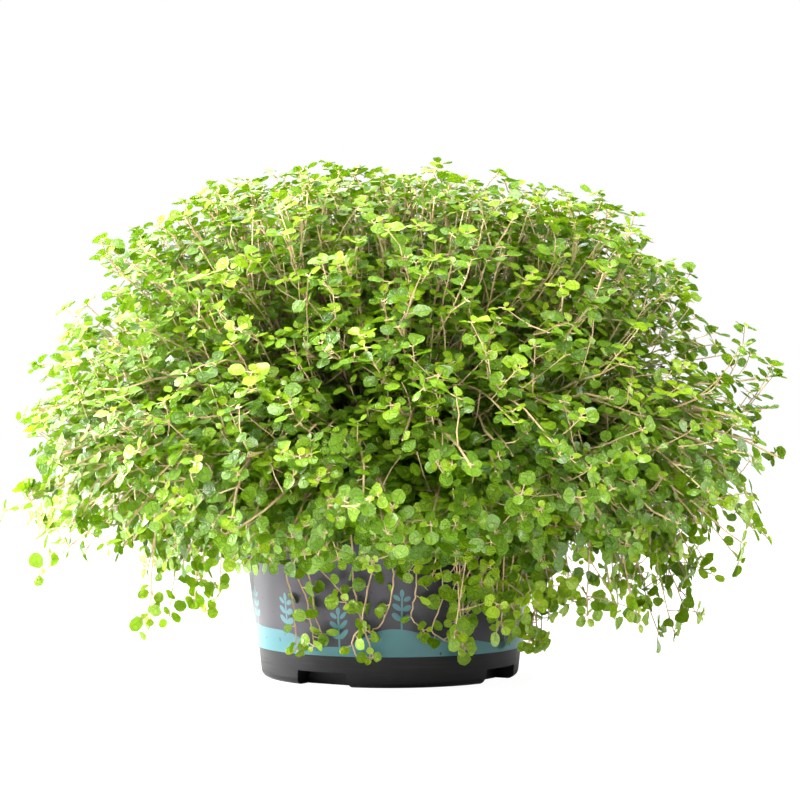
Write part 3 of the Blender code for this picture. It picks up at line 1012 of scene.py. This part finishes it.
def dress(piece, path, first, step, sizes, ages, fine, tip_leaves):
    """Sets leaves along a path from a share of its length on, and a tuft at its tip."""
    pieces = np.linalg.norm(np.diff(path, axis=0), axis=1)
    length = np.concatenate(((0,), np.cumsum(pieces)))
    at = length[-1] * first
    side = 1
    while at < length[-1] - 0.5 * step:
        index = min(int(np.searchsorted(length, at)), len(path) - 1)
        start, end = path[index - 1], path[index]
        share = (at - length[index - 1]) / max(pieces[index - 1], 1e-9)
        node = start + (end - start) * share
        along = unit(end - start)
        face = facing(node)
        across = unit(np.cross(along, face))
        toward = side * across + 0.35 * along + 0.30 * draw.normal(size=3)
        far = at / length[-1]
        size = draw.uniform(*sizes) * (1.1 - 0.25 * far)
        age = ages[0] + (ages[1] - ages[0]) * far + 0.12 * draw.normal()
        add_leaf(piece, node, toward, face, size, age, fine)
        side = -side
        at += step * draw.uniform(0.6, 1.4)
    if tip_leaves:
        tuft(piece, path[-1], unit(path[-1] - path[-2]), tip_leaves, sizes, ages[1], fine)


# %% Pieces by place on the mound
UPPER_SECTORS, SIDE_SECTORS, TRAILING_SECTORS = 4, 5, 3


def sector(prefix, azimuth, count):
    turn = (azimuth / math.tau + 0.5) % 1.0
    return f"{prefix}_{int(turn * count) % count + 1}"


def mound_piece(azimuth, polar):
    """The name of the part of the plant that a stem belongs to."""
    degrees = math.degrees(polar)
    if degrees < 43:
        return "crown"
    if degrees < 67:
        return sector("upper", azimuth, UPPER_SECTORS)
    return sector("side", azimuth, SIDE_SECTORS)


# %% Grow the mound
SHARE_LEAST_TOP, SHARE_LEAST_SIDE = 0.90, 0.76
SHARE_TURN = math.radians(60)
SAG_TOP, SAG_SIDE = 0.10, -0.15
SAG_TURN, SAG_SPAN = 66, 26
SIDE_FIRST, SIDE_STOUT = math.radians(72), 1.35


def sag_at(polar):
    """How a stem bends: under its chord near the top, where tips turn up, and over it below."""
    share = (math.degrees(polar) - SAG_TURN) / SAG_SPAN
    blend = 0.5 + 0.5 * max(-1.0, min(1.0, share))
    return SAG_TOP + (SAG_SIDE - SAG_TOP) * blend


def leaf_sizes(polar):
    """The smallest and largest leaf: finer on the crown, where the light is best."""
    share = CROWN_LEAF + (1 - CROWN_LEAF) * min(1.0, polar / CROWN_TURN) ** 2
    return LEAF_SMALL * share, LEAF_LARGE * share


def grow_stem(azimuth, polar, share):
    piece = mound_piece(azimuth, polar)
    circle = CROWN_INNER + (CROWN_OUTER - CROWN_INNER) * min(1.0, polar / POLAR_MAX)
    circle *= draw.uniform(0.75, 1.0)
    flat = direction(azimuth + 0.25 * draw.normal() * math.sin(polar), math.pi / 2)
    start = flat * circle + UP * (SOIL_TOP - 0.003)
    rise = start + UP * 0.013 + flat * 0.002
    tip = in_mound(azimuth, polar, share)
    chord = tip - rise
    sag = UP * np.linalg.norm(chord) * (sag_at(polar) + 0.04 * draw.normal())
    knots = [start, rise, rise + 0.38 * chord - 0.94 * sag, rise + 0.72 * chord - 0.80 * sag, tip]
    path = wander(smooth_path(knots, STEM_POINTS), 0.0040)
    thick = np.linspace(STEM_RADIUS, TIP_RADIUS, STEM_POINTS) * draw.uniform(0.8, 1.15)
    thick *= SIDE_STOUT if polar > SIDE_FIRST else 1.0
    twigs.append((piece, path, thick))
    # Stems that end lower than FRINGE_FIRST get their leaf ages lowered by 0.12, so darker leaves: painted
    # shade for the low side of the mound.
    young = draw.uniform(0.35, 0.75) - 0.12 * (polar > FRINGE_FIRST)
    sizes = leaf_sizes(polar)
    for count in range(OLD_LEAVES):
        at = int(draw.integers(STEM_POINTS // 3, 2 * STEM_POINTS // 3))
        add_leaf(piece, path[at], draw.normal(size=3), facing(path[at]), OLD_LARGE, 0.0, False)
    dress(piece, path, 0.64, LEAF_STEP, sizes, (0.0, young), share > 0.86, 4)
    for count in range(SHOOTS):
        grow_shoot(piece, path, share, young, sizes)


def grow_shoot(piece, path, share, young, sizes):
    at = int(draw.integers(STEM_POINTS // 2 + 1, STEM_POINTS - 1))
    start = path[at]
    along = unit(path[at] - path[at - 1])
    outward = unit(start - MIDDLE * 0.8)
    way = unit(along * 0.6 + outward * 0.45 + UP * 0.35 + 0.6 * draw.normal(size=3))
    bend = 0.35 * unit(UP * 0.9 + draw.normal(size=3))
    length = draw.uniform(0.009, 0.024)
    t = np.linspace(0, 1, SHOOT_POINTS)[:, None]
    shoot = start + length * (way * t + bend * t * t)
    shoot += draw.normal(size=shoot.shape) * 0.0003 * (t > 0)
    reach = np.linalg.norm(shoot - MIDDLE, axis=1)
    polar = math.acos(float(np.clip((shoot[-1] - MIDDLE)[2] / reach[-1], -1, 1)))
    azimuth = math.atan2(shoot[-1][1], shoot[-1][0])
    limit = skin(azimuth, polar) * min(1.0, share + 0.06)
    shoot = MIDDLE + (shoot - MIDDLE) * np.minimum(1, limit / reach)[:, None]
    twigs.append((piece, shoot, np.linspace(TIP_RADIUS, STALK_RADIUS, SHOOT_POINTS)))
    fine = min(reach[-1], limit) > 0.84 * skin(azimuth, polar)
    tips = int(draw.integers(3, 6))
    dress(piece, shoot, 0.25, SHOOT_LEAF_STEP, sizes, (0.20, young + 0.15), fine, tips)


def spiral(number, polar_first, polar_last):
    """Directions spread evenly between two angles from up, by the golden angle."""
    high, low = math.cos(polar_first), math.cos(polar_last)
    for count in range(number):
        polar = math.acos(high + (low - high) * (count + 0.5) / number)
        yield (count * GOLDEN_ANGLE + 0.06 * draw.normal()) % math.tau, polar + 0.03 * draw.normal()


def pick_share(polar):
    """How near the skin a stem ends: always near it on the top, less so on the open sides."""
    blend = min(1.0, polar / SHARE_TURN) ** 2
    least = SHARE_LEAST_TOP + (SHARE_LEAST_SIDE - SHARE_LEAST_TOP) * blend
    return SKIN * draw.uniform(least, 1.0)


for azimuth, polar in [*spiral(STEMS, 0, POLAR_MAX), *spiral(FRINGE, FRINGE_FIRST, FRINGE_LAST)]:
    grow_stem(azimuth, max(0.02, polar), pick_share(polar))
for azimuth, polar in spiral(TOP_STEMS, 0, TOP_LAST):
    grow_stem(azimuth + 1.0, max(0.02, polar), SKIN * draw.uniform(0.93, 1.0))
for count in range(SKIRT):
    grow_stem(draw.uniform(*SKIRT_SPAN), draw.uniform(*SKIRT_POLAR), draw.uniform(0.86, 1.0))
print("leaves on the mound:", len(leaves), "twigs:", len(twigs))

# %% [markdown]
# ## Stems over the rim
#
# Some stems fall over the rim and hang beside the pot. They go the way that the frame's hanging
# stems go, in groups of several fine ones with a common reach and lowest point. In front, a
# dense curtain hangs right of the middle and single strands cross the sleeve, as in the
# photograph.

# %% Grow the hanging stems
TRAIL_CIRCLE = 0.0495
TRAIL_CREST = (0.062, 0.099)
TRAIL_SHOOTS = 3
TRAILS = (
    # azimuth in degrees, reach and height of the tip, number of fine stems, spread in degrees
    (-135, 0.078, 0.046, 5, 12),
    (-76, 0.066, 0.044, 8, 7),
    (-57, 0.069, 0.031, 23, 10),
    (-40, 0.076, 0.033, 12, 9),
    (-20, 0.098, 0.036, 9, 12),
    (-4, 0.114, 0.036, 11, 12),
    (-8, 0.133, 0.056, 9, 18),
    (186, 0.137, 0.056, 8, 16),
    (14, 0.108, 0.034, 5, 10),
    (34, 0.100, 0.036, 5, 12),
    (72, 0.086, 0.028, 6, 16),
    (115, 0.094, 0.034, 6, 16),
    (152, 0.088, 0.027, 6, 14),
    (190, 0.090, 0.038, 5, 8),
    (204, 0.094, 0.040, 3, 8),
)
LOWEST = 0.009


def around(azimuth, radius, height):
    return np.array((radius * math.cos(azimuth), radius * math.sin(azimuth), height))


def hang(knots, first, tip_leaves, sizes=(0.0038, 0.0060)):
    """One hanging stem through the knots, with its leaves and a few short shoots."""
    count = 5 * len(knots)
    path = wander(smooth_path(knots, count), 0.0012)
    path[:, 2] = np.maximum(path[:, 2], LOWEST)
    tip = path[-1]
    piece = sector("trailing", math.atan2(tip[1], tip[0]), TRAILING_SECTORS)
    twigs.append((piece, path, np.linspace(STEM_RADIUS, TIP_RADIUS, count)))
    dress(piece, path, first, 0.0062, sizes, (0.25, 0.75), True, tip_leaves)
    return piece, path


def grow_trail(azimuth, reach, height):
    crest = (TRAIL_CREST[0] + 0.003 * draw.normal(), TRAIL_CREST[1] + 0.006 * draw.normal())
    side = (0.5 * (crest[0] + reach) + 0.006, 0.5 * (crest[1] + height) + 0.006)
    knots = [
        around(azimuth, TRAIL_CIRCLE * draw.uniform(0.7, 1), SOIL_TOP - 0.003),
        around(azimuth, 0.052, SOIL_TOP + 0.016),
        around(azimuth, *crest),
        around(azimuth + 0.06 * draw.normal(), *side),
        around(azimuth + 0.10 * draw.normal(), reach, height),
    ]
    piece, path = hang(knots, 0.45, int(draw.integers(3, 6)))
    for count in range(TRAIL_SHOOTS):
        at = int(draw.integers(len(path) // 2, len(path) - 1))
        start = path[at]
        way = unit(draw.normal(size=3) + unit(start * (1, 1, 0)) - 0.3 * UP)
        t = np.linspace(0, 1, 4)[:, None]
        shoot = start + draw.uniform(0.008, 0.018) * (way * t + 0.3 * draw.normal(size=3) * t * t)
        shoot[:, 2] = np.maximum(shoot[:, 2], LOWEST)
        twigs.append((piece, shoot, np.linspace(TIP_RADIUS, STALK_RADIUS, 4)))
        dress(piece, shoot, 0.3, 0.0045, (0.0038, 0.0058), (0.4, 0.9), True, 3)


for degrees, reach, height, number, spread in TRAILS:
    for count in range(number):
        azimuth = math.radians(degrees + spread * draw.uniform(-1, 1))
        grow_trail(azimuth, reach * draw.uniform(0.86, 1.04), max(0.016, height + 0.010 * draw.normal()))
print("with the hanging stems:", len(leaves), "leaves")

# %% Strands in front of the sleeve
STRANDS = (
    # (across, height) places in front of the wall, then leaves at the tip
    (((-0.0300, 0.052), (-0.0269, 0.0449), (-0.0190, 0.0370), (-0.0154, 0.0310)), 4),
    (((-0.0340, 0.055), (-0.0290, 0.0400), (-0.0270, 0.0290), (-0.0241, 0.0195)), 4),
    (((-0.0360, 0.050), (-0.0300, 0.0330), (-0.0266, 0.0150)), 3),
    (((-0.0380, 0.048), (-0.0345, 0.0280), (-0.0332, 0.0129)), 3),
    (((-0.0125, 0.052), (-0.0116, 0.0387), (-0.0088, 0.0240), (-0.0053, 0.0136), (-0.0067, 0.0110)), 4),
    (((-0.0040, 0.052), (-0.0086, 0.0240), (-0.0122, 0.0170), (-0.0113, 0.0120)), 0),
    (((0.0030, 0.056), (0.0016, 0.0449), (0.0006, 0.0334), (-0.0030, 0.0240), (-0.0067, 0.0206)), 3),
    (((0.0100, 0.050), (0.0095, 0.0360), (0.0079, 0.0268), (0.0121, 0.0209)), 4),
    (((0.0180, 0.050), (0.0190, 0.0320), (0.0155, 0.0200), (0.0267, 0.0140)), 4),
    (((0.0300, 0.050), (0.0290, 0.0340), (0.0230, 0.0240)), 4),
    (((0.0400, 0.050), (0.0430, 0.0320), (0.0434, 0.0192)), 4),
)


def before_wall(across, height, gap):
    """A place in front of the sleeve, a small gap off it."""
    radius = wall_radius(height) + SLEEVE_GAP + SLEEVE_THICKNESS + gap
    return np.array((across, -math.sqrt(radius**2 - across**2), height))


for places, tip_leaves in STRANDS:
    azimuth = math.atan2(-0.058, places[0][0])
    knots = [
        around(azimuth, TRAIL_CIRCLE, SOIL_TOP - 0.003),
        around(azimuth, 0.053, SOIL_TOP + 0.014),
        around(azimuth, 0.064, SOIL_TOP + 0.012),
        *[before_wall(across, height, 0.004) for across, height in places],
    ]
    hang(knots, 0.55, tip_leaves)
print("with the front strands:", len(leaves), "leaves")

# %% [markdown]
# ## Stem pieces
#
# All stems of one part of the plant are a single curve object with one open spline for each
# stem. A small triangle, itself a curve, is swept along them, which costs only six triangles for
# each step. Hair curves would be quicker, but they are lost when a model is exported.

# %% Sweep the stems
def triangle_section():
    select_only()
    bpy.ops.mesh.primitive_circle_add(vertices=3, radius=1)
    bpy.ops.object.convert(target="CURVE")
    section = bpy.context.object
    section.name = "section"
    return section


def sweep(name, paths, section):
    curve = bpy.data.curves.new(name, "CURVE")
    curve.dimensions = "3D"
    curve.bevel_mode = "OBJECT"
    curve.bevel_object = section
    curve.use_fill_caps = True
    curve.resolution_u = 1
    for path, radii in paths:
        spline = curve.splines.new("POLY")
        spline.points.add(len(path) - 1)
        spline.points.foreach_set("co", np.column_stack((path, np.ones(len(path)))).ravel())
        spline.points.foreach_set("radius", np.array(radii, dtype=float))
    item = bpy.data.objects.new(name, curve)
    bpy.context.scene.collection.objects.link(item)
    select_only(item)
    bpy.ops.object.convert(target="MESH")
    item = bpy.context.object
    face_outwards(item, merge=0.0000005)
    select_only(item)
    bpy.ops.object.shade_smooth_by_angle(angle=math.radians(65))
    return item


# %% Stem finish
STEM_TAN = (0.68, 0.49, 0.28, 1)
STEM_GREEN = (0.50, 0.54, 0.20, 1)
STEM_RUST = (0.30, 0.14, 0.07, 1)
# Dark olive: painted shade for the stems deep inside the mound.
STEM_PAINTED_SHADE = (0.13, 0.10, 0.035, 1)


def make_stem():
    """Pale tan stems, greener towards the skin of the mound and rusty in places, with painted shade: dark
    olive inside the mound above the rim.
    """
    material, tree, shader = new_material("stem")
    place = place_on_object(tree)
    middle = add_node(tree, "ShaderNodeVectorMath", {0: place, 1: tuple(MIDDLE)}, operation="DISTANCE")
    outside = add_node(
        tree, "ShaderNodeMapRange", {0: middle.outputs["Value"], 1: 0.085, 2: 0.14, 3: 0, 4: 0.50}
    )
    patches = use_group(tree, PATCHES, Vector=place, Scale=140.0)
    rust = use_group(tree, PATCHES, Vector=place, Scale=420.0)
    fresh = calc(tree, "MULTIPLY", outside.outputs[0], patches.outputs["Mask"])
    colour = mix_colours(tree, fresh, STEM_TAN, STEM_GREEN)
    colour = mix_colours(tree, calc(tree, "MULTIPLY", rust.outputs["Mask"], 0.30), colour, STEM_RUST)
    # Painted shade: stems near the middle of the mound and above the rim are mixed towards dark olive, as the
    # shade inside the foliage.
    shade_by_depth = add_node(
        tree, "ShaderNodeMapRange", {0: middle.outputs["Value"], 1: 0.060, 2: 0.105, 3: 0.9, 4: 0}
    )
    height = add_node(tree, "ShaderNodeSeparateXYZ", {0: place}).outputs[2]
    above = add_node(tree, "ShaderNodeMapRange", {0: height, 1: 0.072, 2: 0.086, 3: 0, 4: 1})
    inner = calc(tree, "MULTIPLY", shade_by_depth.outputs[0], above.outputs[0])
    colour = mix_colours(tree, inner, colour, STEM_PAINTED_SHADE)
    feed(tree, shader, {"Base Color": colour, "Roughness": 0.45, "Specular IOR Level": 0.35})
    grain = use_group(tree, GRAIN, Vector=place, Scale=3000.0)
    tree.links.new(add_bump(tree, grain.outputs["Height"], 0.3, 0.0002), shader.inputs["Normal"])
    return material


STEM = make_stem()
RING_STARTS = (1, 4, 11, 23, 38, 49)


def stands_for(piece):
    """The stems of the frame that one part of the plant stands for."""
    names = []
    for number in range(1, RING_STARTS[-1]):
        name = f"stem_{number:02d}"
        lowest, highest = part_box(name)
        azimuth = math.atan2(lowest[1] + highest[1], lowest[0] + highest[0])
        if number < RING_STARTS[2]:
            home = "crown"
        elif number < RING_STARTS[3]:
            home = sector("upper", azimuth, UPPER_SECTORS)
        elif number < RING_STARTS[4]:
            home = sector("side", azimuth, SIDE_SECTORS)
        else:
            home = sector("trailing", azimuth, TRAILING_SECTORS)
        if home == piece:
            names.append(name)
    return names


section = triangle_section()
for piece in sorted({twig[0] for twig in twigs}):
    paths = [(path, radii) for home, path, radii in twigs if home == piece]
    item = sweep(f"stems_{piece}", paths, section)
    finish_piece(item, f"stems_{piece}", STEM, stands_for(piece))
bpy.data.objects.remove(section, do_unlink=True)

# %% [markdown]
# ## Leaf finish
#
# A leaf is glossy on top, paler and duller underneath, and lets light through. Its blade is
# blistered between a midrib and two curved side veins that spread from the stalk. Both patterns
# are drawn on the leaf's own flat map. Two values that each leaf carries, its age and its tone,
# choose its green.
# On glossy leaves the raised blisters are painted a pale whitish green: painted sheen, standing in for
# reflected light.

# %% Group: veins and blisters of a leaf
def make_veins():
    group, inside, out = new_group(
        "leaf veins", [("Vector", "NodeSocketVector", None)], ["Vein", "Blister", "Under"]
    )
    split = add_node(group, "ShaderNodeSeparateXYZ", {0: inside.outputs["Vector"]})
    u, v = split.outputs[0], split.outputs[1]
    under = calc(group, "GREATER_THAN", u, 1.0)
    along = calc(group, "FRACT", u)
    across = calc(group, "ABSOLUTE", calc(group, "SUBTRACT", v, 0.5))
    bow = calc(group, "MULTIPLY", calc(group, "SINE", calc(group, "MULTIPLY", along, math.pi * 0.95)), 0.27)
    side = calc(group, "ABSOLUTE", calc(group, "SUBTRACT", across, bow))
    main = step_down(group, across, 0.010, 0.030)
    nearest = calc(group, "MULTIPLY", step_down(group, side, 0.006, 0.026), 0.35)
    cells = add_node(
        group,
        "ShaderNodeTexVoronoi",
        {"Vector": inside.outputs["Vector"], "Scale": 3.6},
        feature="DISTANCE_TO_EDGE",
    )
    net = step_down(group, cells.outputs["Distance"], 0.01, 0.22)
    vein = calc(group, "MAXIMUM", calc(group, "MAXIMUM", main, nearest), calc(group, "MULTIPLY", net, 0.75))
    height = calc(group, "SUBTRACT", 1.0, vein)
    group.links.new(vein, out.inputs["Vein"])
    group.links.new(height, out.inputs["Blister"])
    group.links.new(under, out.inputs["Under"])
    return group


VEINS = make_veins()

# %% Leaf material
LEAF_AGES = (
    # age from old to young, and its green
    (0.00, (0.020, 0.062, 0.003, 1)),
    (0.35, (0.070, 0.175, 0.004, 1)),
    (0.65, (0.190, 0.370, 0.006, 1)),
    (1.00, (0.480, 0.670, 0.012, 1)),
)
LEAF_GLOW = (0.55, 0.78, 0.02, 1)
# Pale whitish green: partly the underside's own paler colour and partly painted sheen, standing in for light
# reflected off the glossy blisters.
LEAF_PALE_SHEEN_AND_UNDERSIDE = (0.36, 0.52, 0.035, 1)
GLOW_SHARE = 0.32


def attribute(tree, name):
    return add_node(tree, "ShaderNodeAttribute", attribute_name=name).outputs["Fac"]


def make_leaf():
    material, tree, shader = new_material("leaf")
    flat = tree.nodes.new("ShaderNodeUVMap")
    flat.uv_map = "leaf"
    veins = use_group(tree, VEINS, Vector=flat.outputs[0])
    ramp = tree.nodes.new("ShaderNodeValToRGB")
    stops = ramp.color_ramp.elements
    while len(stops) < len(LEAF_AGES):
        stops.new(0.5)
    for stop, (age, green) in zip(stops, LEAF_AGES):
        stop.position = age
        stop.color = green
    tree.links.new(attribute(tree, "age"), ramp.inputs[0])
    tone = attribute(tree, "tone")
    # Painted sheen: the blisters of high-tone leaves are mixed towards pale whitish green, as a reflection
    # would be. Undersides get their own paler green as well.
    blister = calc(tree, "MULTIPLY", veins.outputs["Blister"], 0.30)
    sheen_and_underside = calc(tree, "MULTIPLY", tone, blister)
    sheen_and_underside = calc(tree, "MULTIPLY_ADD", veins.outputs["Under"], 0.22, sheen_and_underside, clamp=True)
    colour = mix_colours(tree, sheen_and_underside, ramp.outputs[0], LEAF_PALE_SHEEN_AND_UNDERSIDE)
    bright = calc(tree, "MULTIPLY_ADD", tone, 0.5, 0.80)
    # Painted shade: the leaf is darker along its sunken veins, as the shade in those creases.
    bright = calc(tree, "SUBTRACT", bright, calc(tree, "MULTIPLY", veins.outputs["Vein"], 0.28))
    value = add_node(tree, "ShaderNodeHueSaturation", {"Value": bright, "Color": colour})
    rough = calc(tree, "MULTIPLY_ADD", veins.outputs["Under"], 0.30, 0.32)
    waxy = add_node(tree, "ShaderNodeMapRange", {0: tone, 1: 0.40, 2: 0.75, 3: 0.05, 4: 0.75})
    waxy = calc(tree, "MULTIPLY", waxy.outputs[0], calc(tree, "SUBTRACT", 1.0, veins.outputs["Under"]))
    feed(
        tree,
        shader,
        {
            "Base Color": value.outputs[0],
            "Roughness": rough,
            "Specular IOR Level": 0.35,
            "Coat Weight": waxy,
            "Coat Roughness": 0.28,
            "Coat IOR": 1.6,
        },
    )
    bump = add_bump(tree, veins.outputs["Blister"], 0.65, 0.0004)
    tree.links.new(bump, shader.inputs["Normal"])
    glow = add_node(tree, "ShaderNodeBsdfTranslucent", {"Color": LEAF_GLOW, "Normal": bump})
    both = add_node(tree, "ShaderNodeMixShader", {0: GLOW_SHARE, 1: shader.outputs[0], 2: glow.outputs[0]})
    tree.links.new(both.outputs[0], tree.nodes["Material Output"].inputs["Surface"])
    return material


LEAF = make_leaf()

# %% Copy the leaves
RUFFLE = 0.026


def leaf_piece(name, rows):
    points, triangles, flats, ages, tones = [], [], [], [], []
    count = 0
    for shape, (model, faces, flat) in enumerate(leaf_models):
        own = [row for row in rows if row[1] == shape]
        if not own:
            continue
        on_edge = np.linalg.norm(model[:, :2] - (0.5 - NOTCH, 0), axis=1) > 0.2
        base = np.array([row[2] for row in own])
        ahead = np.array([row[3] for row in own])
        face = np.array([row[4] for row in own])
        size = np.array([row[5] for row in own])
        turn = np.stack((ahead, np.cross(face, ahead), face), axis=1)
        ruffled = model + RUFFLE * draw.normal(size=(len(own), *model.shape)) * on_edge[None, :, None]
        placed = base[:, None, :] + size[:, None, None] * np.einsum("nvi,nij->nvj", ruffled, turn)
        points.append(placed.reshape(-1, 3))
        starts = count + np.arange(len(own)) * len(model)
        triangles.append((faces[None] + starts[:, None, None]).reshape(-1, 3))
        flats.append(np.tile(flat.reshape(-1, 2), (len(own), 1)))
        ages.append(np.repeat([row[6] for row in own], len(model)))
        tones.append(np.repeat([row[7] for row in own], len(model)))
        count += len(own) * len(model)
    item = build_mesh(name, np.concatenate(points), np.concatenate(triangles))
    mesh = item.data
    layer = mesh.uv_layers.new(name="leaf")
    layer.data.foreach_set("uv", np.concatenate(flats).astype(np.float32).ravel())
    for label, values in (("age", ages), ("tone", tones)):
        mesh.attributes.new(label, "FLOAT", "POINT")
        mesh.attributes[label].data.foreach_set("value", np.concatenate(values).astype(np.float32))
    mesh.shade_smooth()
    mesh.set_sharp_from_angle(angle=math.radians(80))
    return item


for piece in sorted({row[0] for row in leaves}):
    rows = [row for row in leaves if row[0] == piece]
    item = leaf_piece(f"leaves_{piece}", rows)
    finish_piece(item, f"leaves_{piece}", LEAF, stands_for(piece))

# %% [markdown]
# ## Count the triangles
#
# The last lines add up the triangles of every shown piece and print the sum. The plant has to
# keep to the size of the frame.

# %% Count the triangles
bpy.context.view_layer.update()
total = sum(len(f.vertices) - 2 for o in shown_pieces() if o.type == "MESH" for f in o.data.polygons)
print("triangles in all:", total)
